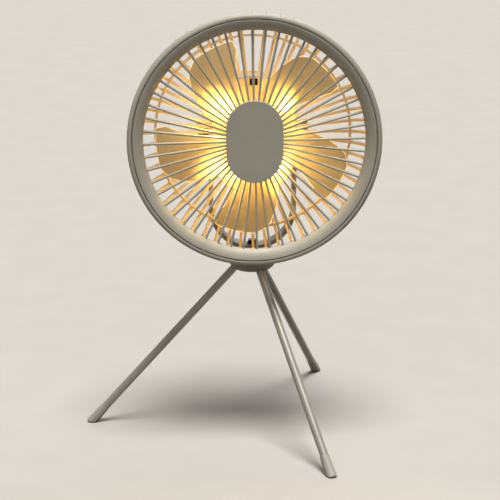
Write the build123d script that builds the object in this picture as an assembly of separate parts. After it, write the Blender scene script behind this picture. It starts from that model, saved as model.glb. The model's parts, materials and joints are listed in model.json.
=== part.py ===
from build123d import *
import os
from math import atan2, cos, degrees, radians, sin, tan

# A portable camping fan: a round head with straight wire-like ribs, a battery pod behind its
# five blades, a U-shaped yoke and a tripod of three folding legs.
# Millimetres, +Z up. The head faces -Y. Everything is first built about the tripod's vertical
# hub axis, then moved so that the origin lies under the middle of the whole object.

# ---------------------------------------------------------------- driving dimensions
RIM_RADIUS = 105.2          # outside of the round head
HEAD_HEIGHT = 265.5         # fan axis above the floor
HEAD_SETBACK = 58.0         # front plane of the head to the hub axis
FRONT_RIBS = 52
REAR_RIBS = 56
FRONT_RIB_TURN = -1.3       # the front moulding sits clocked a little in its twist lock
OPENING_RADIUS = 91.8       # inner edge of the rolled front lip
PLATE_WIDTH = 47.0
PLATE_HEIGHT = 68.8
POD_WIDTH = 70.7
POD_HEIGHT = 101.0
POD_FACE = 30.0             # depths are measured back from the front plane of the head
POD_SPLIT = 48.5
POD_BACK = 78.0
COVER_WIDTH = 66.4
COVER_HEIGHT = 97.2
WALL = 2.0
BLADES = 5
BLADE_TIP = 82.0
LIGHT_OFFSET = 26.1         # each lamp is this far across and this far up from the fan axis
YOKE_INNER = 34.1
YOKE_THICKNESS = 3.5
YOKE_DEPTH = 15.0
YOKE_BEND_HEIGHT = 198.0
HUB_TOP = 155.0
HUB_BOTTOM = 142.0
HUB_RADIUS = 19.7
LEG_APEX = 160.0            # the three leg axes meet here on the hub axis
FOOT_CIRCLE = 144.0
PIN_HEIGHT = 146.0
LEG_AZIMUTHS = {"rear": 62.0, "side": 180.0, "front": 295.0}
GAP = 0.3                   # free space between parts that move past each other

# ---------------------------------------------------------------- derived
LEG_ANGLE = degrees(atan2(FOOT_CIRCLE, LEG_APEX))
PIN_RADIUS = (LEG_APEX - PIN_HEIGHT) * tan(radians(LEG_ANGLE))
YOKE_OUTER = YOKE_INNER + YOKE_THICKNESS
YOKE_FLOOR = YOKE_BEND_HEIGHT - YOKE_INNER
LEG_REACH = PIN_HEIGHT / cos(radians(LEG_ANGLE))
PIVOT_DEPTH = HEAD_SETBACK
HEAD = Plane(origin=(0, -HEAD_SETBACK, HEAD_HEIGHT), x_dir=(1, 0, 0), z_dir=(0, 1, 0)).location

parts = {}


# ---------------------------------------------------------------- shared shapes
# In the head's own frame X is across, Y is down and Z is the depth behind the front plane.
def disc(radius, start, end, x=0.0, y=0.0):
    height = end - start
    return Pos(x, y, start + height / 2) * Cylinder(radius, height)


def tube(outer, inner, start, end, x=0.0, y=0.0):
    return disc(outer, start, end, x, y) - disc(inner, start, end, x, y)


def slab(width, height, start, end):
    """A prism with a stadium outline, taller than it is wide."""
    return Pos(0, 0, start) * extrude(SlotOverall(height, width, rotation=90), end - start)


def turned(*lines):
    """A ring or disc turned about Z from the lines of its outline, as (radius, height)."""
    return revolve(Plane.XZ * make_face(lines), Axis.Z)


def block(width, height, start, end, x=0.0, y=0.0):
    return Pos(x, y, (start + end) / 2) * Box(width, height, end - start)


def spaced(shape, count, turn=0.0):
    return [Rot(0, 0, turn + 360 / count * k) * shape for k in range(count)]


def corners(x, y):
    return [(sx * x, sy * y) for sx in (-1, 1) for sy in (-1, 1)]


# ---------------------------------------------------------------- front grille
LIP_DEPTH = 5.3             # the front lip rolls this far back from its crest
CREST_RADIUS = 100.3
RING_OUTER = 100.9
RING_BACK = 8.0
RIB_FRONT = 4.8
RIB_BACK = 7.4
RIB_WIDTH = 1.9
PLATE_FRONT = 1.6
BOSS_FRONT = 3.0
BOSS_BACK = 5.6


def front_rib():
    """A straight rib along X with a rounded front."""
    half = RIB_WIDTH / 2
    crown = ThreePointArc((-half, RIB_FRONT + half), (0, RIB_FRONT), (half, RIB_FRONT + half))
    sides = Polyline(crown @ 1, (half, RIB_BACK), (-half, RIB_BACK), crown @ 0)
    start = 20.0
    return Pos(start, 0, 0) * extrude(Plane.YZ * make_face([crown, sides]), OPENING_RADIUS + 1.0 - start)


def front_grille():
    lip = TangentArc((CREST_RADIUS, 0.0), (OPENING_RADIUS, LIP_DEPTH), tangent=(-1.0, 0.1))
    inside = Polyline(lip @ 1, (OPENING_RADIUS, RING_BACK), (94.0, RING_BACK), (94.0, 5.6), (97.0, 5.6),
                      (97.0, RING_BACK), (RING_OUTER, RING_BACK), (RING_OUTER, 1.0), lip @ 0)
    boss = slab(PLATE_WIDTH, PLATE_HEIGHT, BOSS_FRONT, BOSS_BACK)
    return turned(lip, inside) + boss + spaced(front_rib(), FRONT_RIBS, 90 + FRONT_RIB_TURN)


def centre_plate():
    plate = slab(PLATE_WIDTH, PLATE_HEIGHT, PLATE_FRONT, BOSS_FRONT)
    return fillet(plate.faces().sort_by(Axis.Z)[0].edges(), 0.6)


# ---------------------------------------------------------------- rear grille
RIM_BACK = 10.3
BASKET_DEPTH = 48.5
BASKET_BEND = 25.0
REAR_RIB_WIDTH = 2.3
REAR_RIB_HEIGHT = 3.0
REAR_RING_RADIUS = 82.6
REAR_RING_WIDTH = 2.0
GRILLE_SCREW_RADIUS = 99.0
GRILLE_SCREW_SHANK = 1.25
GRILLE_SCREW_TIP = 5.6


def beside_bottom_rib(shape):
    """Turns a shape from the +X side to halfway between the two lowest rear ribs."""
    return Rot(0, 0, 90 + 180 / REAR_RIBS) * shape


def basket_rib():
    lift = REAR_RIB_HEIGHT
    outer = FilletPolyline((104.4, 8.5), (103.6, BASKET_DEPTH), (34.0, BASKET_DEPTH), radius=BASKET_BEND)
    inner = FilletPolyline((104.4 - lift, 8.5), (103.6 - lift, BASKET_DEPTH - lift),
                           (34.0, BASKET_DEPTH - lift), radius=BASKET_BEND - lift)
    ends = [Line(outer @ 0, inner @ 0), Line(outer @ 1, inner @ 1)]
    face = make_face([outer, inner] + ends)
    return extrude(Plane.XZ * face, REAR_RIB_WIDTH / 2, both=True)


def rear_grille():
    face = Polyline((RING_OUTER + GAP, 1.0), (RING_OUTER + GAP + 0.4, 0.1), (RIM_RADIUS - 2.5, 0.0))
    shoulder = TangentArc(face @ 1, (RIM_RADIUS, 1.8), tangent=(1.0, 0.1))
    back = Polyline(shoulder @ 1, (RIM_RADIUS, 7.0), (104.5, 8.9), (103.4, RIM_BACK), (97.0, RIM_BACK),
                    (97.0, RING_BACK + 0.2), (RING_OUTER + GAP, RING_BACK + 0.2), face @ 0)
    rim = turned(face, shoulder, back)
    half = REAR_RING_WIDTH / 2
    ring = tube(REAR_RING_RADIUS + half, REAR_RING_RADIUS - half, 42.8, 47.6)
    collar = slab(POD_WIDTH + 3.4, POD_HEIGHT + 3.4, BASKET_DEPTH - REAR_RIB_HEIGHT, BASKET_DEPTH)
    pod_hole = slab(POD_WIDTH, POD_HEIGHT, 40.0, 50.0)
    screw_hole = beside_bottom_rib(disc(GRILLE_SCREW_SHANK, 5.0, 12.0, x=GRILLE_SCREW_RADIUS))
    return rim + ring + collar + spaced(basket_rib(), REAR_RIBS, 90) - pod_hole - screw_hole


def grille_screw():
    """The small screw at the bottom of the rim that keeps the twist lock shut."""
    centre = GRILLE_SCREW_RADIUS
    shank = disc(GRILLE_SCREW_SHANK, GRILLE_SCREW_TIP, RIM_BACK, x=centre)
    head = disc(2.4, RIM_BACK, RIM_BACK + 1.6, x=centre)
    slot = block(3.2, 0.6, RIM_BACK + 0.9, RIM_BACK + 1.6, x=centre)
    return beside_bottom_rib(shank + head - slot)


screw_bore = disc(GRILLE_SCREW_SHANK, GRILLE_SCREW_TIP, RING_BACK, x=GRILLE_SCREW_RADIUS)
parts["front_grille"] = HEAD * (front_grille() - beside_bottom_rib(screw_bore))
parts["centre_plate"] = HEAD * centre_plate()
parts["rear_grille"] = HEAD * rear_grille()
parts["grille_lock_screw"] = HEAD * grille_screw()

# ---------------------------------------------------------------- pod: shells and their screws
POD_SCREWS = corners(15.0, 38.0)
LENS_RADIUS = 4.5
WINDOW = (6.9, 5.6)
WINDOW_RISE = 45.4
SHAFT_TUBE_RADIUS = 5.0
PIVOT_SCREW_RADIUS = 2.0


def pod_front_shell():
    shell = slab(POD_WIDTH, POD_HEIGHT, POD_FACE, POD_SPLIT)
    shell = fillet(shell.faces().sort_by(Axis.Z)[0].edges(), 1.0)
    shell -= slab(POD_WIDTH - 2 * WALL, POD_HEIGHT - 2 * WALL, POD_FACE + WALL, POD_SPLIT)
    for x, y in POD_SCREWS:
        shell += disc(3.6, POD_FACE + WALL, POD_SPLIT, x, y)
        shell -= disc(1.5, POD_SPLIT - 9.0, POD_SPLIT, x, y)
    for x, y in corners(LIGHT_OFFSET, LIGHT_OFFSET):
        shell -= disc(LENS_RADIUS, POD_FACE - 1, POD_FACE + WALL, x, y)
    shell -= disc(SHAFT_TUBE_RADIUS, POD_FACE - 1, POD_FACE + WALL)
    shell -= block(*WINDOW, POD_FACE - 1, POD_FACE + WALL, y=-WINDOW_RISE)
    return shell


def pod_rear_cover():
    cover = slab(COVER_WIDTH, COVER_HEIGHT, POD_SPLIT, POD_BACK)
    cover = fillet(cover.faces().sort_by(Axis.Z)[-1].edges(), 5.0)
    cover -= slab(COVER_WIDTH - 2 * WALL, COVER_HEIGHT - 2 * WALL, POD_SPLIT, POD_BACK - WALL - 0.6)
    for x, y in POD_SCREWS:
        cover += disc(4.2, POD_SPLIT, POD_BACK - WALL, x, y)
        cover -= disc(1.5, POD_SPLIT, POD_BACK, x, y)
        cover -= disc(3.0, POD_BACK - 6.0, POD_BACK, x, y)
    boss_inner = 24.5
    boss_length = COVER_WIDTH / 2 - 1 - boss_inner
    for side in (-1, 1):
        boss = Pos(side * (boss_inner + boss_length / 2), 0, PIVOT_DEPTH) * Rot(0, 90, 0)
        cover += boss * Cylinder(5.0, boss_length)
        cover -= boss * Cylinder(PIVOT_SCREW_RADIUS, 3 * boss_length)
    for y in BUTTON_DROPS.values():
        cover -= disc(BUTTON_RADIUS + GAP, POD_BACK - 5, POD_BACK, y=y)
    for x, y in STATUS_SPOTS:
        cover -= disc(STATUS_RADIUS, POD_BACK - 5, POD_BACK, x, y)
    cover -= block(SOCKET_WIDTH, SOCKET_HEIGHT, POD_BACK - 5, POD_BACK, y=SOCKET_DROP)
    return cover


def pod_screw(x, y):
    shank = disc(1.5, POD_SPLIT - 8.5, POD_BACK - 6.0, x, y)
    head = disc(2.8, POD_BACK - 6.0, POD_BACK - 4.0, x, y)
    cross = block(3.4, 0.8, POD_BACK - 5.0, POD_BACK - 4.0, x, y)
    cross += block(0.8, 3.4, POD_BACK - 5.0, POD_BACK - 4.0, x, y)
    return shank + head - cross


# ---------------------------------------------------------------- pod: controls on the back
BUTTON_RADIUS = 6.0
BUTTON_DROPS = {"fan": -22.0, "light": 0.0}
BUTTON_TRAVEL = 0.8
STATUS_RADIUS = 1.0
STATUS_SPOTS = [(x, 13.0) for x in (-7.5, -2.5, 2.5, 7.5)]
SOCKET_WIDTH = 9.0
SOCKET_HEIGHT = 3.3
SOCKET_DROP = 27.0
BOARD_FRONT = 72.4
BOARD_BACK = 73.4


def push_button(y):
    cap = disc(BUTTON_RADIUS, 74.7, POD_BACK + 1.2, y=y)
    cap = fillet(cap.faces().sort_by(Axis.Z)[-1].edges(), 0.8)
    flange = disc(BUTTON_RADIUS + 1.0, 74.7, 75.1, y=y)
    return cap + flange


def circuit_board():
    return block(34.0, 62.0, BOARD_FRONT, BOARD_BACK, y=2.0)


def switch_dome(y):
    return block(5.0, 5.0, BOARD_BACK, BOARD_BACK + 0.4, y=y)


def status_light(x, y):
    return disc(STATUS_RADIUS, BOARD_BACK, POD_BACK + 0.1, x, y)


def charge_socket():
    shell = block(SOCKET_WIDTH, SOCKET_HEIGHT, BOARD_BACK, POD_BACK, y=SOCKET_DROP)
    mouth = block(SOCKET_WIDTH - 0.7, SOCKET_HEIGHT - 0.7, BOARD_BACK + 0.8, POD_BACK, y=SOCKET_DROP)
    tongue = block(6.7, 0.7, BOARD_BACK + 0.5, POD_BACK - 0.6, y=SOCKET_DROP)
    return shell - mouth + tongue


parts["pod_front_shell"] = HEAD * pod_front_shell()
parts["pod_rear_cover"] = HEAD * pod_rear_cover()
parts["pod_cover_screws"] = HEAD * Compound([pod_screw(x, y) for x, y in POD_SCREWS])
for use, drop in BUTTON_DROPS.items():
    parts[f"{use}_button"] = HEAD * push_button(drop)
parts["circuit_board"] = HEAD * circuit_board()
parts["button_switches"] = HEAD * Compound([switch_dome(y) for y in BUTTON_DROPS.values()])
parts["status_lights"] = HEAD * Compound([status_light(x, y) for x, y in STATUS_SPOTS])
parts["charge_socket"] = HEAD * charge_socket()

# ---------------------------------------------------------------- pod: battery
CELL_RADIUS = 9.2
CELL_LENGTH = 65.0
CELL_DEPTH = 62.6
CELL_X = 9.6
CRADLE_FRONT = 52.9


def battery_cell(x):
    body = Pos(x, 0, CELL_DEPTH) * Rot(90, 0, 0) * Cylinder(CELL_RADIUS, CELL_LENGTH - 1.0)
    button = Pos(x, -CELL_LENGTH / 2 + 0.25, CELL_DEPTH) * Rot(90, 0, 0) * Cylinder(3.0, 0.9)
    return body + button


def battery_cradle():
    """A plate in front of the cells with an end wall above and below them."""
    plate = block(39.0, 66.4, CRADLE_FRONT, CELL_DEPTH - 1.0)
    for x in (-CELL_X, CELL_X):
        plate -= Pos(x, 0, CELL_DEPTH) * Rot(90, 0, 0) * Cylinder(CELL_RADIUS, 80)
    for y in (-1, 1):
        plate += block(20.0, 1.4, CRADLE_FRONT, CELL_DEPTH + 4, y=y * (CELL_LENGTH / 2 + 1.0))
    return plate


parts["battery_cells"] = HEAD * Compound([battery_cell(x) for x in (-CELL_X, CELL_X)])
parts["battery_cradle"] = HEAD * battery_cradle()

# ---------------------------------------------------------------- pod: lamps and remote window
LAMP_BOARD_BACK = POD_FACE + WALL + 1.2


def lens(x, y):
    body = disc(LENS_RADIUS, POD_FACE - 1.4, POD_FACE + WALL, x, y)
    return fillet(body.faces().sort_by(Axis.Z)[0].edges(), 1.2)


def lamp_board():
    board = slab(63.0, 92.0, POD_FACE + WALL, LAMP_BOARD_BACK)
    for x, y in POD_SCREWS:
        board -= disc(3.9, POD_FACE, POD_SPLIT, x, y)
    return board - disc(18.6, POD_FACE, POD_SPLIT)


parts["light_lenses"] = HEAD * Compound([lens(x, y) for x, y in corners(LIGHT_OFFSET, LIGHT_OFFSET)])
parts["light_board"] = HEAD * lamp_board()
parts["remote_window"] = HEAD * block(*WINDOW, POD_FACE - 0.1, POD_FACE + WALL, y=-WINDOW_RISE)

# ---------------------------------------------------------------- motor
SHAFT_RADIUS = 1.5
SHAFT_FRONT = 7.6
SHAFT_BACK = 52.2
BEARINGS = [(30.5, 33.5), (45.5, 48.5)]
STATOR = (35.0, 46.0)
STATOR_SLOTS = 9


def motor_mount():
    flange = disc(18.0, POD_FACE + WALL, 33.6)
    sleeve = tube(SHAFT_TUBE_RADIUS, 3.5, POD_FACE, 49.0)
    return flange - disc(3.5, POD_FACE, 40.0) + sleeve


def bearing(start, end):
    return tube(3.5, SHAFT_RADIUS + 0.02, start, end)


def stator():
    core = tube(13.4, SHAFT_TUBE_RADIUS, *STATOR)
    slot = block(6.0, 2.4, *STATOR, x=10.0) + block(4.0, 1.0, *STATOR, x=13.5)
    return core - spaced(slot, STATOR_SLOTS)


def coil():
    """One winding: a frame of wire round a stator tooth, above and below the iron."""
    start, end = STATOR
    return block(5.2, 2.6, start - 0.9, start, x=9.6) + block(5.2, 2.6, end, end + 0.9, x=9.6)


def rotor_can():
    wall = tube(17.0, 15.2, 34.2, 51.0)
    back = tube(17.0, SHAFT_RADIUS, 49.6, 51.0)
    boss = tube(3.2, SHAFT_RADIUS, 51.0, SHAFT_BACK)
    vents = spaced(disc(2.2, 49.0, 52.0, x=10.5), 6)
    return wall + back + boss - vents


parts["motor_mount"] = HEAD * motor_mount()
parts["motor_bearings"] = HEAD * Compound([bearing(*span) for span in BEARINGS])
parts["motor_stator"] = HEAD * stator()
parts["motor_coils"] = HEAD * Compound([
    piece for turn in spaced(coil(), STATOR_SLOTS, 180 / STATOR_SLOTS) for piece in turn.solids()])
parts["rotor_can"] = HEAD * rotor_can()
parts["rotor_magnets"] = HEAD * tube(15.2, 13.9, *STATOR)
parts["motor_shaft"] = HEAD * disc(SHAFT_RADIUS, SHAFT_FRONT, SHAFT_BACK)

# ---------------------------------------------------------------- fan wheel
HUB_CUP_RADIUS = 20.0
HUB_CUP = (9.5, 27.5)
BLADE_THICKNESS = 1.4
BLADE_DEPTH = 19.6          # depth of a blade at its datum angle
BLADE_PITCH = 16.0          # millimetres of depth for each radian round the axis
BLADE_START = -1.0          # the bottom blade's datum, clockwise from straight down
# Edges of a blade as (radius, degrees clockwise of its datum), seen from the front.
LEADING_EDGE = [(18.0, 12.0), (42.9, 18.8), (55.8, 21.8), (74.0, 25.9)]
TRAILING_EDGE = [(74.5, -8.8), (55.8, -19.5), (42.9, -26.5), (18.0, -38.0)]
TIP_CORNER = (77.6, -6.6)
TIP_SPAN = (0.4, 24.2)


def polar(radius, angle):
    return (radius * cos(radians(angle)), radius * sin(radians(angle)))


def blade_outline():
    leading = Spline([polar(*point) for point in LEADING_EDGE])
    trailing = Spline([polar(*point) for point in TRAILING_EDGE])
    start, end = TIP_SPAN
    tip = ThreePointArc(*[polar(BLADE_TIP, angle) for angle in (end, (start + end) / 2, start)])
    corner = Polyline(tip @ 1, polar(*TIP_CORNER), trailing @ 0)
    round_over = Line(leading @ 1, tip @ 0)
    root = Line(trailing @ 1, leading @ 0)
    return make_face([leading, round_over, tip, corner, trailing, root])


def blade():
    """A helical sheet, cut to the blade's outline."""
    radii = [14, 30, 50, 70, 90]
    angles = [-50, -30, -10, 10, 30, 50]
    grid = [[Vector(*polar(r, a), BLADE_DEPTH + BLADE_PITCH * radians(a)) for a in angles]
            for r in radii]
    sheet = Face.make_surface_from_array_of_points(grid)
    body = Solid.thicken(sheet, BLADE_THICKNESS)
    return body & extrude(blade_outline(), 40)


def fan_wheel():
    front, back = HUB_CUP
    cup = disc(HUB_CUP_RADIUS, front, back)
    cup = fillet(cup.faces().sort_by(Axis.Z)[0].edges(), 2.0)
    cup -= disc(HUB_CUP_RADIUS - 1.8, front + 2.0, back)
    cup += disc(4.0, front, 26.0)
    cup -= disc(SHAFT_RADIUS, 0, 40)
    wheel = cup + spaced(blade(), BLADES, 90 + BLADE_START)
    return wheel - disc(HUB_CUP_RADIUS - 1.8, front + 2.0, back) + tube(4.0, SHAFT_RADIUS, front, 26.0)


def wheel_nut():
    body = disc(4.2, 6.5, HUB_CUP[0])
    body = fillet(body.faces().sort_by(Axis.Z)[0].edges(), 1.2)
    return body - disc(SHAFT_RADIUS, SHAFT_FRONT, HUB_CUP[0])


parts["fan_wheel"] = HEAD * fan_wheel()
parts["wheel_nut"] = HEAD * wheel_nut()

# ---------------------------------------------------------------- tilt pivots
KNOB_RADIUS = 7.6
KNOB_LENGTH = 9.4


def across(radius, start, end, side):
    """A cylinder on the tilt axis, from start to end millimetres out on one side."""
    middle = side * (start + end) / 2
    return Pos(middle, 0, PIVOT_DEPTH) * Rot(0, 90, 0) * Cylinder(radius, end - start)


def pivot_screw(side):
    return across(PIVOT_SCREW_RADIUS, 26.0, YOKE_OUTER + 4.0, side)


def pivot_knob(side):
    knob = across(KNOB_RADIUS, YOKE_OUTER + GAP, YOKE_OUTER + KNOB_LENGTH, side)
    outer_face = knob.faces().sort_by(Axis.X)[-1 if side > 0 else 0]
    knob = fillet(outer_face.edges(), 1.4)
    return knob - pivot_screw(side)


def pivot_washer(side):
    washer = across(6.5, COVER_WIDTH / 2, YOKE_INNER - GAP, side)
    return washer - across(PIVOT_SCREW_RADIUS, 20, 50, side)


for name, maker in (("pivot_screws", pivot_screw), ("pivot_knobs", pivot_knob),
                    ("pivot_washers", pivot_washer)):
    parts[name] = HEAD * Compound([maker(side) for side in (-1, 1)])

# ---------------------------------------------------------------- yoke
YOKE_FOOT_RADIUS = 17.0
YOKE_FOOT_TOP = YOKE_FLOOR - 1.9
PAD_TOP = YOKE_FLOOR + 0.6
SWIVEL_SCREW_RADIUS = 2.0
SWIVEL_SCREW_END = HUB_BOTTOM + 2.5


def yoke():
    """A flat strap bent into a U, with a round foot that turns on the hub."""
    height = HEAD_HEIGHT - YOKE_BEND_HEIGHT + YOKE_DEPTH / 2
    solid = Cylinder(YOKE_OUTER, YOKE_DEPTH) + Pos(0, height / 2, 0) * Box(2 * YOKE_OUTER, height, YOKE_DEPTH)
    hollow = Cylinder(YOKE_INNER, 40) + Pos(0, height / 2, 0) * Box(2 * YOKE_INNER, height, 40)
    strap = Pos(0, 0, YOKE_BEND_HEIGHT) * Rot(90, 0, 0) * (solid - hollow)
    side_view = Pos(0, 0, HEAD_HEIGHT) * Rot(0, 90, 0) * Cylinder(YOKE_DEPTH / 2, 100)
    side_view += Pos(0, 0, (HEAD_HEIGHT + HUB_TOP) / 2) * Box(100, YOKE_DEPTH, HEAD_HEIGHT - HUB_TOP)
    strap = strap & side_view
    foot = disc(YOKE_FOOT_RADIUS, HUB_TOP + GAP, YOKE_FOOT_TOP)
    pad = disc(6.5, PAD_TOP - 2.4, PAD_TOP)
    pivot_holes = Pos(0, 0, HEAD_HEIGHT) * Rot(0, 90, 0) * Cylinder(PIVOT_SCREW_RADIUS + 0.08, 100)
    swivel_hole = disc(SWIVEL_SCREW_RADIUS + 0.08, HUB_TOP, PAD_TOP)
    return strap + foot + pad - pivot_holes - swivel_hole


def swivel_screw():
    start = PAD_TOP + GAP + 0.6
    shank = disc(SWIVEL_SCREW_RADIUS, SWIVEL_SCREW_END, start)
    head = disc(3.6, start, start + 2.6)
    socket = Pos(0, 0, start + 2.0) * extrude(RegularPolygon(1.5, 6), 2.0)
    return shank + head - socket


def swivel_washer():
    return tube(5.0, SWIVEL_SCREW_RADIUS, PAD_TOP + GAP, PAD_TOP + GAP + 0.6)


parts["yoke"] = yoke()
parts["swivel_screw"] = swivel_screw()
parts["swivel_washer"] = swivel_washer()

# ---------------------------------------------------------------- hub with its leg slots
LEG_RADIUS = 3.4
SLOT_WIDTH = 7.6
SLOT_TOP = PIN_HEIGHT + 4.2
PIN_THICKNESS = 1.25


def leg_slot():
    """The room a leg needs between folded and open, in the plane of azimuth 0."""
    angle = radians(LEG_ANGLE)

    def above_leg(radius):
        middle = PIN_HEIGHT - (radius - PIN_RADIUS) / tan(angle)
        return middle + (LEG_RADIUS + GAP) / sin(angle)

    inner, outer = PIN_RADIUS - 5.0, PIN_RADIUS + 2.8
    below = HUB_BOTTOM - 10
    face = make_face(Polyline((inner, below), (inner, SLOT_TOP), (outer, SLOT_TOP), (outer, above_leg(outer)),
                              (32, above_leg(32)), (32, below), close=True))
    return extrude(Plane.XZ * face, SLOT_WIDTH / 2, both=True)


def leg_pin():
    return Pos(PIN_RADIUS, 0, PIN_HEIGHT) * Rot(90, 0, 0) * Cylinder(PIN_THICKNESS, 13)


def hub_body():
    under = TangentArc((13.0, HUB_BOTTOM), (HUB_RADIUS, HUB_BOTTOM + 4.9), tangent=(1.0, 0.0))
    side = Polyline(under @ 1, (HUB_RADIUS, HUB_TOP - 0.8), (HUB_RADIUS - 0.8, HUB_TOP), (0, HUB_TOP),
                    (0, HUB_BOTTOM), under @ 0)
    bowl = turned(under, side)
    for azimuth in LEG_AZIMUTHS.values():
        bowl -= Rot(0, 0, azimuth) * (leg_slot() + leg_pin())
    return bowl - disc(SWIVEL_SCREW_RADIUS, SWIVEL_SCREW_END, HUB_TOP)


parts["hub_body"] = hub_body()
parts["leg_pins"] = Compound([Rot(0, 0, azimuth) * leg_pin() for azimuth in LEG_AZIMUTHS.values()])

# ---------------------------------------------------------------- legs
CAP_TOP_RADIUS = 3.8
CAP_RADIUS = 4.5
CAP_START = LEG_REACH - 19.0
CAP_END = LEG_REACH + 1.6
LEG_END = LEG_REACH - 5.0
SOLE_HEIGHT = 1.3
SOLE_INSET = 0.3
UP = radians(LEG_ANGLE)
LEG_FRAME = Plane(origin=(PIN_RADIUS, 0, PIN_HEIGHT), x_dir=(0, 1, 0),
                  z_dir=(sin(UP), 0, -cos(UP)))


def leg_section(radius):
    """Round outside, with a blunt V inside where folded legs lie together."""
    shoulder = 0.43 * radius
    arc = ThreePointArc((radius, 0), (0, radius), (-radius, 0))
    inside = Polyline((-radius, 0), (-radius, -shoulder), (0, -radius), (radius, -shoulder), (radius, 0))
    return make_face([arc, inside])


def along_leg(radius, start, end):
    return LEG_FRAME.location * (Pos(0, 0, start) * extrude(leg_section(radius), end - start))


def slice_of_floor(bottom, top):
    return Pos(FOOT_CIRCLE, 0, (bottom + top) / 2) * Box(60, 60, top - bottom)


def leg():
    rod = along_leg(LEG_RADIUS, 0, LEG_END)
    eye = Pos(PIN_RADIUS, 0, PIN_HEIGHT) * Rot(90, 0, 0) * Cylinder(LEG_RADIUS, 2 * LEG_RADIUS)
    pin_hole = Pos(PIN_RADIUS, 0, PIN_HEIGHT) * Rot(90, 0, 0) * Cylinder(PIN_THICKNESS + 0.06, 20)
    return rod + eye - pin_hole


def foot_form(inset):
    """A tapered boot round the leg's end, with a rounded toe."""
    top = Pos(0, 0, CAP_START) * leg_section(CAP_TOP_RADIUS - inset)
    bottom = Pos(0, 0, CAP_END) * leg_section(CAP_RADIUS - inset)
    boot = loft([top, bottom])
    boot = fillet(boot.faces().sort_by(Axis.Z)[-1].edges(), 1.6)
    return LEG_FRAME.location * boot


def foot_cap():
    return foot_form(0) - along_leg(LEG_RADIUS, CAP_START - 5, LEG_END) - slice_of_floor(-20, SOLE_HEIGHT)


def foot_sole():
    return foot_form(SOLE_INSET) & slice_of_floor(0, SOLE_HEIGHT)


for place, azimuth in LEG_AZIMUTHS.items():
    parts[f"{place}_leg"] = Rot(0, 0, azimuth) * leg()
    parts[f"{place}_foot_cap"] = Rot(0, 0, azimuth) * foot_cap()
    parts[f"{place}_foot_sole"] = Rot(0, 0, azimuth) * foot_sole()

# ---------------------------------------------------------------- origin and files
box = Compound([shape for shape in parts.values()]).bounding_box()
SHIFT = Vector(-(box.min.X + box.max.X) / 2, -(box.min.Y + box.max.Y) / 2, -box.min.Z)
os.makedirs("parts", exist_ok=True)
for name, shape in parts.items():
    parts[name] = Pos(SHIFT) * shape
    export_step(parts[name], f"parts/{name}.step")
print("size", box.size, "shift", SHIFT, "nodes", len(parts))
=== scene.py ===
import json
import math

import bpy
from mathutils import Matrix, Vector


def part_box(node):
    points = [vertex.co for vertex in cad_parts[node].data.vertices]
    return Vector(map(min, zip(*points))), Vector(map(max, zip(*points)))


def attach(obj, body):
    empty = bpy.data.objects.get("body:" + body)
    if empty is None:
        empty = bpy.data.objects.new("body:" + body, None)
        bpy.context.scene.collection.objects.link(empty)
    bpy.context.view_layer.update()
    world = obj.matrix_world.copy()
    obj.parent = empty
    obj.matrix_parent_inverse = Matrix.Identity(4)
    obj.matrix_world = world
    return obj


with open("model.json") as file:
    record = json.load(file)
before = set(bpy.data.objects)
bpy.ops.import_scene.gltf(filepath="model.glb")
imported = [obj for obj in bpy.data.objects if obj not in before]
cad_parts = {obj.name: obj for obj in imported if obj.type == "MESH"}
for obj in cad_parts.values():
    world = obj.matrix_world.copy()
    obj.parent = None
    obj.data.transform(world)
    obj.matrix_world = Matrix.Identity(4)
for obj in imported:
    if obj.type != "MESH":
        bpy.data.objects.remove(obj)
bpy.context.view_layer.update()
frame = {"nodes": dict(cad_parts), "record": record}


def srgb(red, green, blue):
    """A colour as it looks on screen, 0 to 255, turned into the linear one that Blender takes."""
    def linear(value):
        share = value / 255
        return share / 12.92 if share <= 0.04045 else ((share + 0.055) / 1.055) ** 2.4
    return (linear(red), linear(green), linear(blue), 1.0)


def scaled(colour, factor):
    """The same hue, darker or paler."""
    return tuple(min(1.0, part * factor) for part in colour[:3]) + (1.0,)


# ---------------------------------------------------------------- colours
SHELL = srgb(155, 152, 138)
# painted shade: darker than the shell, as the hub looks in the head's shadow
SHADED_FITTING = srgb(118, 113, 100)
STRAP = srgb(146, 140, 126)
LEG = srgb(142, 138, 130)
FOOT = srgb(148, 144, 135)
MILKY = srgb(216, 206, 176)
AMBER = srgb(255, 196, 104)             # painted lamp light that the blades' sheet seems to carry, given as emission
EDGE_LIGHT = srgb(255, 208, 128)        # the same painted light where it leaves the sheet, on the edge beads
LAMP_LIGHT = (1.0, 0.63, 0.18)
WASH_LIGHT = (1.0, 0.44, 0.05, 1.0)     # painted lamp light: the lamps' light after it has bounced about in the basket, given as emission on the basket and pod shells
SUN_LIGHT = (1.0, 0.98, 0.95)
WORLD_LIGHT = (1.0, 0.985, 0.96, 1.0)
FLOOR = srgb(170, 167, 162)
FLOOR_BOUNCE = srgb(104, 102, 99)
BACKDROP = srgb(223, 217, 206)

# ---------------------------------------------------------------- places in metres, from the frame
GRILLE_LOW, GRILLE_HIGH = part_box("front_grille")
FAN_AXIS = (GRILLE_LOW + GRILLE_HIGH) / 2
FAN_X = FAN_AXIS.x
FAN_Z = FAN_AXIS.z
BASKET_START = GRILLE_LOW.y + 0.0106    # just behind the rim
LENS_LOW, LENS_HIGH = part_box("light_lenses")
LENS_RADIUS = 0.0045
LAMP_OUT = (LENS_HIGH.x - LENS_LOW.x) / 2 - LENS_RADIUS
LAMP_FRONT = LENS_LOW.y
LAMP_GAP = 0.0002                       # each light's disc stands this far before its lens
HUB_LOW, HUB_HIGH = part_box("hub_body")
HUB_Y = (HUB_LOW.y + HUB_HIGH.y) / 2
FLOOR_REACH = 6.0

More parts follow.
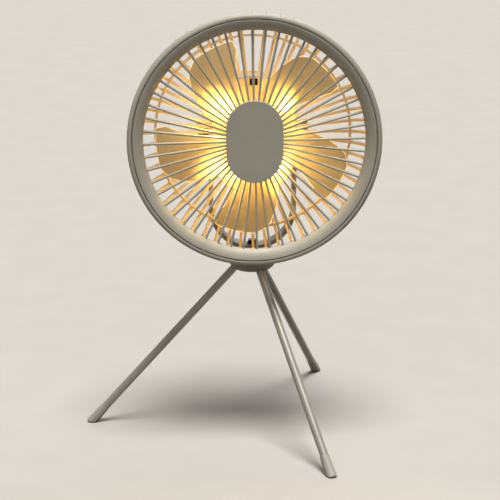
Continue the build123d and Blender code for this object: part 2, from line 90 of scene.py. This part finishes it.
# ---------------------------------------------------------------- light
LAMP_POWER = 0.25
LAMP_SPREAD = 140.0                     # degrees
LENS_GLOW = (9.0, 3.5)                  # over the chip, and at the lens's rim
WASH_PLANE = LAMP_FRONT - 0.010         # the painted scattered light seems to come from before the lenses
WASH_LIMIT = 3.0                        # strongest painted-light emission of a washed surface
BASKET_WASH = (0.0042, 0.055)           # level of painted lamp light, and the core that softens it near a lamp
POD_WASH = (0.0012, 0.008)
SHEET_GLOW = (0.34, 0.12)               # painted glow of a blade, near the hub and near the tip
SHEET_REACH = (0.03, 0.08)              # distances from the fan's axis at which these two hold
CUT_GLOW = 0.5                          # painted glow added at a blade's cut edges, whose faces look sideways
CUT_FACING = (0.3, 0.6)                 # share that a face looks along the axis, for all of it and for none
WORLD_LEVEL = 0.085

# ---------------------------------------------------------------- patterns
PATTERN_LOW = 0.3                       # noise runs from 0 to 1 and is mostly between these two
PATTERN_HIGH = 0.7
TONE_CLOUDS = 0.022                     # sizes of the patterns' features, in metres
GLOSS_CLOUDS = 0.006
BLADE_CLOUDS = 0.012
BLADE_GRAIN = 0.0009
LENS_CLOUDS = 0.002
FLOOR_CLOUDS = 0.05
FINE_DEPTH = 0.00001                    # of blade grain and of turning lines
BLADE_LETS_THROUGH = 0.5                # share of light that comes scattered through the sheet
BLADE_CLEAR = 0.12                      # share that passes straight through

# ---------------------------------------------------------------- painted glow on the blade edges
EDGE_START = 0.0225                     # distance from the axis, past the hub cup
EDGE_BEAD = 0.00028                     # radius
BEAD_SIDES = 5
SHARP_EDGE = 0.6                        # two faces meet in an edge under this cosine between them
FRONT_FACING = -0.6                     # a normal's Y, where the face looks to the front
WELD = 1e5                              # corners that agree to 0.01 mm are one
SHORTEST_CHAIN = 4                      # points

# ---------------------------------------------------------------- camera, at the photograph's viewing angle
CAMERA_TARGET = Vector((FAN_X - 0.00193, HUB_Y, 0.15809))
CAMERA_DISTANCE = 1.3807
CAMERA_AZIMUTH = math.radians(-2.069)
CAMERA_ELEVATION = math.radians(15.508)
CAMERA_ROLL = math.radians(0.034)
CAMERA_LENS = 113.75
CAMERA_SENSOR = 36.0


# ---------------------------------------------------------------- node helpers
def new_material(name):
    material = bpy.data.materials.new(name)
    material.use_nodes = True
    material.node_tree.nodes.clear()
    return material, material.node_tree


def node(tree, kind, inputs=None, **settings):
    """A node with its settings; an input is a plain value or the socket that feeds it."""
    made = tree.nodes.new(kind)
    for name, value in settings.items():
        setattr(made, name, value)
    for name, value in (inputs or {}).items():
        if isinstance(value, bpy.types.NodeSocket):
            tree.links.new(value, made.inputs[name])
        else:
            made.inputs[name].default_value = value
    return made


def principled(tree, values):
    return node(tree, "ShaderNodeBsdfPrincipled", values).outputs[0]


def mixed(tree, share, first, second):
    """Two shaders in one, with that share of the second."""
    return node(tree, "ShaderNodeMixShader", {0: share, 1: first, 2: second}).outputs[0]


def finish_material(tree, shader):
    node(tree, "ShaderNodeOutputMaterial", {"Surface": shader})


def calc(tree, operation, *values):
    """One step of arithmetic on numbers or sockets."""
    return node(tree, "ShaderNodeMath", dict(enumerate(values)), operation=operation).outputs[0]


def vector_calc(tree, operation, *values, output="Vector"):
    """The same on vectors; a length or a dot product is in the output Value."""
    made = node(tree, "ShaderNodeVectorMath", dict(enumerate(values)), operation=operation)
    return made.outputs[output]


def object_place(tree):
    """Rest position in metres, which a piece keeps when it moves."""
    return node(tree, "ShaderNodeTexCoord").outputs["Object"]


def noise(tree, place, size, detail=2.0):
    """Cloudy pattern with features of about that size, in metres."""
    return node(tree, "ShaderNodeTexNoise",
                {"Vector": place, "Scale": 1 / size, "Detail": detail}).outputs["Fac"]


def tinted(tree, pattern, colour, darkest, palest):
    """The colour, from darker to paler over the pattern's usual range."""
    made = node(tree, "ShaderNodeValToRGB", {"Fac": pattern})
    low, high = made.color_ramp.elements
    low.position = PATTERN_LOW
    low.color = scaled(colour, darkest)
    high.position = PATTERN_HIGH
    high.color = scaled(colour, palest)
    return made.outputs["Color"]


def spread(tree, amount, low, high, start=PATTERN_LOW, end=PATTERN_HIGH):
    """amount from start to end, turned into low to high."""
    return node(tree, "ShaderNodeMapRange",
                {"Value": amount, "From Min": start, "From Max": end, "To Min": low, "To Max": high},
                clamp=True).outputs["Result"]


def bump(tree, height, distance):
    return node(tree, "ShaderNodeBump",
                {"Height": height, "Distance": distance, "Strength": 1.0}).outputs["Normal"]


# ---------------------------------------------------------------- materials
def to_nearest_lamp(tree, place, centre):
    """Way along one axis to the lamp on the same side of the fan's axis."""
    out = calc(tree, "SUBTRACT", place, centre)
    lamp = calc(tree, "MULTIPLY", calc(tree, "SIGN", out), LAMP_OUT)
    return calc(tree, "SUBTRACT", lamp, out)


def painted_lamp_wash(tree, core):
    """Painted lamp light inside the basket, given as emission: the lamps' scattered light, as a surface faces
    the nearest lamp, and by distance.
    """
    coordinates = node(tree, "ShaderNodeTexCoord").outputs
    spot = node(tree, "ShaderNodeSeparateXYZ", {"Vector": coordinates["Object"]}).outputs
    towards = node(tree, "ShaderNodeCombineXYZ", {
        "X": to_nearest_lamp(tree, spot["X"], FAN_X),
        "Y": calc(tree, "SUBTRACT", WASH_PLANE, spot["Y"]),
        "Z": to_nearest_lamp(tree, spot["Z"], FAN_Z),
    }).outputs[0]
    squared = vector_calc(tree, "DOT_PRODUCT", towards, towards, output="Value")
    way = vector_calc(tree, "NORMALIZE", towards)
    facing = vector_calc(tree, "DOT_PRODUCT", way, coordinates["Normal"], output="Value")
    share = calc(tree, "DIVIDE", facing, calc(tree, "ADD", squared, core * core))
    inside = calc(tree, "GREATER_THAN", spot["Y"], BASKET_START)
    return calc(tree, "MULTIPLY", share, inside)


def moulded(name, colour, rough=(0.42, 0.56), mottle=0.05, grain_size=0.0007, grain_depth=0.00002,
            wash=None, **more):
    """Plastic from a spark-eroded mould: fine grain, faint clouds of tone and of gloss; with wash, also
    painted lamp light given as emission.
    """
    material, tree = new_material(name)
    place = object_place(tree)
    clouds = noise(tree, place, TONE_CLOUDS, 4.0)
    gloss = noise(tree, place, GLOSS_CLOUDS, 3.0)
    grain = noise(tree, place, grain_size)
    values = {
        "Base Color": tinted(tree, clouds, colour, 1 - mottle, 1 + mottle),
        "Roughness": spread(tree, gloss, *rough),
        "Normal": bump(tree, grain, grain_depth),
    }
    # painted lamp light: emission that stands in for the lamps' scattered light on this shell
    if wash:
        level, core = wash
        values["Emission Color"] = WASH_LIGHT
        values["Emission Strength"] = spread(tree, painted_lamp_wash(tree, core), 0.0, WASH_LIMIT,
                                             0.0, WASH_LIMIT / level)
    values.update(more)
    finish_material(tree, principled(tree, values))
    return material


def metal(name, colour, rough=(0.28, 0.42), grain=(0.0004, 0.0004, 0.004)):
    """Turned or drawn metal with fine lines along one direction."""
    material, tree = new_material(name)
    stretched = node(tree, "ShaderNodeMapping",
                     {"Vector": object_place(tree), "Scale": [1 / size for size in grain]}).outputs[0]
    lines = noise(tree, stretched, 1.0, 3.0)
    finish_material(tree, principled(tree, {
        "Base Color": tinted(tree, lines, colour, 0.85, 1.1),
        "Metallic": 1.0,
        "Roughness": spread(tree, lines, *rough),
        "Normal": bump(tree, lines, FINE_DEPTH),
    }))
    return material


def blade_plastic():
    """Milky plastic: part of the lamps' light comes through, and painted glow stands in for the light the
    sheet carries and for its glowing cut edges.
    """
    material, tree = new_material("blade_plastic")
    coordinates = node(tree, "ShaderNodeTexCoord").outputs
    place = coordinates["Object"]
    clouds = noise(tree, place, BLADE_CLOUDS, 3.0)
    colour = tinted(tree, clouds, MILKY, 0.94, 1.04)
    facing = node(tree, "ShaderNodeSeparateXYZ", {"Vector": coordinates["Normal"]}).outputs["Y"]
    # painted glow at the cut edges, whose faces look sideways
    edge = spread(tree, calc(tree, "ABSOLUTE", facing), CUT_GLOW, 0.0, *CUT_FACING)
    from_centre = vector_calc(tree, "SUBTRACT", place, (FAN_X, 0.0, FAN_Z))
    flat = vector_calc(tree, "MULTIPLY", from_centre, (1.0, 0.0, 1.0))
    out = vector_calc(tree, "LENGTH", flat, output="Value")
    # painted glow across the sheet, from the hub outwards
    carried = spread(tree, out, *SHEET_GLOW, *SHEET_REACH)
    skin = principled(tree, {
        "Base Color": colour,
        "Roughness": spread(tree, clouds, 0.28, 0.4),
        "Normal": bump(tree, noise(tree, place, BLADE_GRAIN), FINE_DEPTH),
        "Emission Color": AMBER,
        "Emission Strength": calc(tree, "ADD", edge, carried),
    })
    through = node(tree, "ShaderNodeBsdfTranslucent", {"Color": colour}).outputs[0]
    clear = node(tree, "ShaderNodeBsdfTransparent", {"Color": MILKY}).outputs[0]
    sheet = mixed(tree, BLADE_LETS_THROUGH, skin, through)
    finish_material(tree, mixed(tree, BLADE_CLEAR, sheet, clear))
    return material


def painted_edge_glow():
    """The bead along a blade's edge, with painted glow for light that runs inside the blade and comes out
    there.
    """
    material, tree = new_material("painted_edge_glow")
    clouds = noise(tree, object_place(tree), BLADE_CLOUDS, 3.0)
    finish_material(tree, principled(tree, {
        "Base Color": tinted(tree, clouds, MILKY, 0.9, 1.0),
        "Roughness": 0.4,
        "Emission Color": EDGE_LIGHT,
        "Emission Strength": spread(tree, clouds, 0.75, 1.0),
    }))
    return material


def lamp_lens():
    """A lit diffusing lens, brightest over the chip in its middle."""
    material, tree = new_material("lamp_lens")
    place = object_place(tree)
    spot = node(tree, "ShaderNodeSeparateXYZ", {"Vector": place}).outputs
    offset = node(tree, "ShaderNodeCombineXYZ", {
        "X": to_nearest_lamp(tree, spot["X"], FAN_X),
        "Z": to_nearest_lamp(tree, spot["Z"], FAN_Z),
    }).outputs[0]
    distance = vector_calc(tree, "LENGTH", offset, output="Value")
    finish_material(tree, principled(tree, {
        "Base Color": MILKY,
        "Roughness": spread(tree, noise(tree, place, LENS_CLOUDS), 0.2, 0.32),
        "Emission Color": LAMP_LIGHT + (1.0,),
        "Emission Strength": spread(tree, distance, *LENS_GLOW, 0.0, LENS_RADIUS),
    }))
    return material


def make_materials():
    """One material for each slot in the record, and one each for the two shells that carry painted lamp
    light.
    """
    return {
        "shell_plastic": moulded("shell_plastic", SHELL),
        "basket_painted_lamplight": moulded("basket_painted_lamplight", SHELL, wash=BASKET_WASH),
        "pod_painted_lamplight": moulded("pod_painted_lamplight", SHELL, wash=POD_WASH),
        "fitting_plastic": moulded("fitting_plastic", SHADED_FITTING, rough=(0.38, 0.5)),
        "yoke_metal": moulded("yoke_metal", STRAP, rough=(0.4, 0.52), grain_size=0.0012, grain_depth=0.00004),
        "blade_plastic": blade_plastic(),
        "leg_metal": moulded("leg_metal", LEG, rough=(0.3, 0.42), grain_size=0.0009, Metallic=0.25),
        "foot_plastic": moulded("foot_plastic", FOOT, rough=(0.45, 0.6)),
        "sole_rubber": moulded("sole_rubber", srgb(72, 69, 64), rough=(0.7, 0.85), grain_size=0.0005),
        "lamp_lens": lamp_lens(),
        "status_lens": moulded("status_lens", srgb(226, 226, 220), rough=(0.15, 0.25)),
        "dark_window": moulded("dark_window", srgb(12, 11, 11), rough=(0.08, 0.16), mottle=0.1),
        "button_plastic": moulded("button_plastic", scaled(SHELL, 0.86), rough=(0.5, 0.62)),
        "screw_steel": metal("screw_steel", srgb(30, 29, 28), rough=(0.35, 0.5)),
        "axle_steel": metal("axle_steel", srgb(196, 196, 198)),
        "motor_steel": metal("motor_steel", srgb(168, 168, 170)),
        "motor_magnet": moulded("motor_magnet", srgb(70, 70, 73), rough=(0.5, 0.7)),
        "motor_copper": metal("motor_copper", srgb(196, 122, 74), grain=(0.004, 0.0003, 0.0003)),
        "motor_alloy": metal("motor_alloy", srgb(186, 188, 190), rough=(0.4, 0.6)),
        "board_green": moulded("board_green", srgb(38, 108, 74), rough=(0.25, 0.4)),
        "switch_metal": metal("switch_metal", srgb(190, 190, 190)),
        "cell_wrap": moulded("cell_wrap", srgb(66, 122, 168), rough=(0.25, 0.38)),
        "cradle_plastic": moulded("cradle_plastic", srgb(58, 57, 55)),
    }


def dress_nodes(materials):
    """Every CAD node takes the material of its slot in the record, and the two shells with painted lamp light
    their own.
    """
    slot_of = {entry["node"]: entry["material_slot"] for entry in frame["record"]["subparts"]}
    slot_of["rear_grille"] = "basket_painted_lamplight"
    slot_of["pod_front_shell"] = "pod_painted_lamplight"
    for name, part in frame["nodes"].items():
        part.data.materials.clear()
        part.data.materials.append(materials[slot_of[name]])


# ---------------------------------------------------------------- painted glow on the blade edges
def edge_neighbours(mesh):
    """For each corner on the blades' sharp front edges, the corners next to it, and every corner's place."""
    corner = {vertex.index: tuple(round(part * WELD) for part in vertex.co) for vertex in mesh.vertices}
    place = {corner[vertex.index]: vertex.co.copy() for vertex in mesh.vertices}
    normals_at = {}
    for face in mesh.polygons:
        ring = [corner[index] for index in face.vertices]
        for start, end in zip(ring, ring[1:] + ring[:1]):
            if start != end:
                normals_at.setdefault(tuple(sorted((start, end))), []).append(face.normal)
    beside = {}
    for (start, end), normals in normals_at.items():
        if len(normals) != 2 or normals[0].dot(normals[1]) > SHARP_EDGE:
            continue
        middle = (place[start] + place[end]) / 2
        past_cup = math.hypot(middle.x - FAN_X, middle.z - FAN_Z) > EDGE_START
        if past_cup and min(normal.y for normal in normals) < FRONT_FACING:
            beside.setdefault(start, []).append(end)
            beside.setdefault(end, []).append(start)
    return beside, place


def blade_outlines():
    """Front edge of each blade as a chain of points, from the wheel's own mesh."""
    beside, place = edge_neighbours(frame["nodes"]["fan_wheel"].data)
    outlines = []
    left = set(beside)
    while left:
        ends = [key for key in sorted(left) if len(beside[key]) == 1]
        ahead = ends or sorted(left)
        chain = []
        while ahead:
            chain.append(ahead[0])
            left.discard(ahead[0])
            ahead = [key for key in beside[chain[-1]] if key in left]
        if len(chain) >= SHORTEST_CHAIN:
            outlines.append([place[key] for key in chain])
    return outlines


def add_blade_edges(material):
    """A hair-fine bead along each blade's front edge, with painted glow for the light carried in the sheet
    that comes out there.
    """
    vertices, faces = [], []
    for outline in blade_outlines():
        for number, point in enumerate(outline):
            ahead = outline[min(number + 1, len(outline) - 1)] - outline[max(number - 1, 0)]
            along = ahead.normalized()
            first = along.cross(Vector((0, 1, 0))).normalized()
            second = along.cross(first)
            for step in range(BEAD_SIDES):
                turn = 2 * math.pi * step / BEAD_SIDES
                vertices.append(point + EDGE_BEAD * (math.cos(turn) * first + math.sin(turn) * second))
            if number:
                here = len(vertices) - BEAD_SIDES
                before = here - BEAD_SIDES
                for step in range(BEAD_SIDES):
                    after = (step + 1) % BEAD_SIDES
                    faces.append((before + step, before + after, here + after, here + step))
    # painted glow: this bead mesh emits the light of the blade edges
    mesh = bpy.data.meshes.new("blade_edges")
    mesh.from_pydata(vertices, [], faces)
    mesh.materials.append(material)
    piece = bpy.data.objects.new("blade_edges", mesh)
    bpy.context.scene.collection.objects.link(piece)
    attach(piece, "fan")


# ---------------------------------------------------------------- stage
def seen_directly(tree):
    """1 for a ray from the camera, or one that a glossy or clear surface sends on, and 0 for the rest."""
    path = node(tree, "ShaderNodeLightPath").outputs
    glossy = calc(tree, "MAXIMUM", path["Is Camera Ray"], path["Is Glossy Ray"])
    return calc(tree, "MAXIMUM", glossy, path["Is Transmission Ray"])


def floor_paint():
    """Pale to the eye and in reflections, but sending less light back up under the object."""
    material, tree = new_material("floor_paint")
    clouds = noise(tree, object_place(tree), FLOOR_CLOUDS, 4.0)
    pale = node(tree, "ShaderNodeBsdfDiffuse", {"Color": tinted(tree, clouds, FLOOR, 0.985, 1.015)})
    dull = node(tree, "ShaderNodeBsdfDiffuse", {"Color": FLOOR_BOUNCE})
    finish_material(tree, mixed(tree, seen_directly(tree), dull.outputs[0], pale.outputs[0]))
    return material


def add_floor():
    mesh = bpy.data.meshes.new("floor")
    corners = [(-1, -1), (1, -1), (1, 1), (-1, 1)]
    mesh.from_pydata([(x * FLOOR_REACH, y * FLOOR_REACH, 0) for x, y in corners], [], [(0, 1, 2, 3)])
    mesh.materials.append(floor_paint())
    floor = bpy.data.objects.new("floor", mesh)
    bpy.context.scene.collection.objects.link(floor)


def add_world():
    world = bpy.data.worlds.new("studio")
    world.use_nodes = True
    tree = world.node_tree
    tree.nodes.clear()
    light = node(tree, "ShaderNodeBackground", {"Color": WORLD_LIGHT, "Strength": WORLD_LEVEL})
    shown = node(tree, "ShaderNodeBackground", {"Color": BACKDROP, "Strength": 1.0})
    both = mixed(tree, seen_directly(tree), light.outputs[0], shown.outputs[0])
    node(tree, "ShaderNodeOutputWorld", {"Surface": both})
    bpy.context.scene.world = world


# ---------------------------------------------------------------- lights
def add_light(name, lamp, colour, energy):
    """The lamp's own object, with its colour and energy set."""
    lamp.color = colour
    lamp.energy = energy
    holder = bpy.data.objects.new(name, lamp)
    bpy.context.scene.collection.objects.link(holder)
    return holder


def add_sun(name, towards, width, power):
    """Even light from one side of the room; its width in degrees makes its shadows soft."""
    lamp = bpy.data.lights.new(name, "SUN")
    lamp.angle = math.radians(width)
    holder = add_light(name, lamp, SUN_LIGHT, power)
    holder.rotation_mode = "QUATERNION"
    holder.rotation_quaternion = Vector(towards).to_track_quat("-Z", "Y")


def add_fan_lamps():
    """A flat disc of light on the face of each lens, so that it shines forwards and tilts with the head."""
    for side, across in ((-1, "left"), (1, "right")):
        for rise, height in ((-1, "low"), (1, "high")):
            name = f"lamp_{across}_{height}"
            lamp = bpy.data.lights.new(name, "AREA")
            lamp.shape = "DISK"
            lamp.size = 2 * LENS_RADIUS
            lamp.spread = math.radians(LAMP_SPREAD)
            holder = add_light(name, lamp, LAMP_LIGHT, LAMP_POWER)
            holder.location = (FAN_X + side * LAMP_OUT, LAMP_FRONT - LAMP_GAP, FAN_Z + rise * LAMP_OUT)
            holder.rotation_euler = (-math.pi / 2, 0, 0)
            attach(holder, "head")


# ---------------------------------------------------------------- camera and sizes
def add_camera():
    data = bpy.data.cameras.new("camera")
    data.lens = CAMERA_LENS
    data.sensor_width = CAMERA_SENSOR
    camera = bpy.data.objects.new("camera", data)
    level = math.cos(CAMERA_ELEVATION)
    back = Vector((math.sin(CAMERA_AZIMUTH) * level, -math.cos(CAMERA_AZIMUTH) * level,
                   math.sin(CAMERA_ELEVATION)))
    right = (-back).cross(Vector((0, 0, 1))).normalized()
    up = right.cross(-back)
    turned_right = right * math.cos(CAMERA_ROLL) + up * math.sin(CAMERA_ROLL)
    turned_up = up * math.cos(CAMERA_ROLL) - right * math.sin(CAMERA_ROLL)
    axes = Matrix((turned_right, turned_up, back)).transposed().to_4x4()
    camera.matrix_world = Matrix.Translation(CAMERA_TARGET + back * CAMERA_DISTANCE) @ axes
    bpy.context.scene.collection.objects.link(camera)
    bpy.context.scene.camera = camera


dress_nodes(make_materials())
add_blade_edges(painted_edge_glow())
add_floor()
add_world()
add_sun("ceiling", towards=(-0.05, 0.25, -0.97), width=26.0, power=4.6)
add_sun("front", towards=(0.1, 0.75, -0.66), width=60.0, power=0.45)
add_sun("back", towards=(-0.2, -0.75, -0.62), width=60.0, power=1.2)
add_fan_lamps()
add_camera()
bpy.context.scene.view_settings.view_transform = "Standard"
